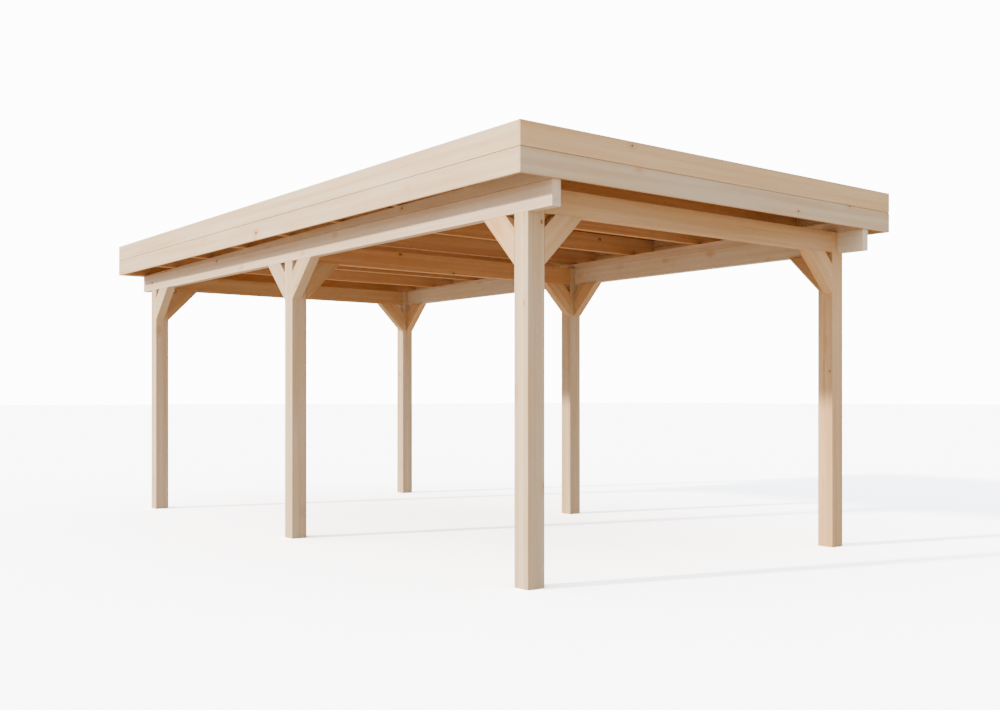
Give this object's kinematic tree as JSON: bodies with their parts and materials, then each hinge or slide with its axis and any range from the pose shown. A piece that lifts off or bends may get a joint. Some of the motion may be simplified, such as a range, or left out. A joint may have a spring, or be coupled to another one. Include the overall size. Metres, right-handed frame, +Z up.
{
  "type": "carport",
  "caption": "Open timber carport: notched square posts, side and cross beams with knee braces, rafters on tapered firring strips, and a nearly flat boarded roof behind a level fascia.",
  "frame": {"origin": "middle of the carport's plan, at ground level under the posts", "axes": "+X across to the right, +Y along to the back, the front faces -Y, +Z up"},
  "size_m": [3.344, 6.06, 2.485],
  "materials": {
    "spruce_timber": "planed, untreated",
    "spruce_board": "planed, untreated",
    "deck_board": "planed, tongue and groove",
    "roofing": "mineral-faced roofing felt"
  },
  "bodies": {
    "root": {"post_front_left": "spruce_timber", "post_front_right": "spruce_timber", "post_middle_left": "spruce_timber", "post_middle_right": "spruce_timber", "post_back_left": "spruce_timber", "post_back_right": "spruce_timber", "side_beam_left": "spruce_timber", "side_beam_right": "spruce_timber", "cross_beam_front": "spruce_timber", "cross_beam_middle": "spruce_timber", "cross_beam_back": "spruce_timber", "brace_across_front_left": "spruce_timber", "brace_across_front_right": "spruce_timber", "brace_across_middle_left": "spruce_timber", "brace_across_middle_right": "spruce_timber", "brace_across_back_left": "spruce_timber", "brace_across_back_right": "spruce_timber", "brace_along_front_bay_front_left": "spruce_timber", "brace_along_front_bay_front_right": "spruce_timber", "brace_along_front_bay_back_left": "spruce_timber", "brace_along_front_bay_back_right": "spruce_timber", "brace_along_back_bay_front_left": "spruce_timber", "brace_along_back_bay_front_right": "spruce_timber", "brace_along_back_bay_back_left": "spruce_timber", "brace_along_back_bay_back_right": "spruce_timber", "firring_left": "spruce_timber", "firring_right": "spruce_timber", "rafter_1": "spruce_timber", "rafter_2": "spruce_timber", "rafter_3": "spruce_timber", "rafter_4": "spruce_timber", "rafter_5": "spruce_timber", "rafter_6": "spruce_timber", "rafter_7": "spruce_timber", "rafter_8": "spruce_timber", "rafter_9": "spruce_timber", "fascia_front_lower": "spruce_board", "fascia_back_lower": "spruce_board", "fascia_left_lower": "spruce_board", "fascia_right_lower": "spruce_board", "fascia_front_upper": "spruce_board", "fascia_back_upper": "spruce_board", "fascia_left_upper": "spruce_board", "fascia_right_upper": "spruce_board", "roof_deck": "deck_board", "roofing": "roofing"}
  },
  "joints": []
}
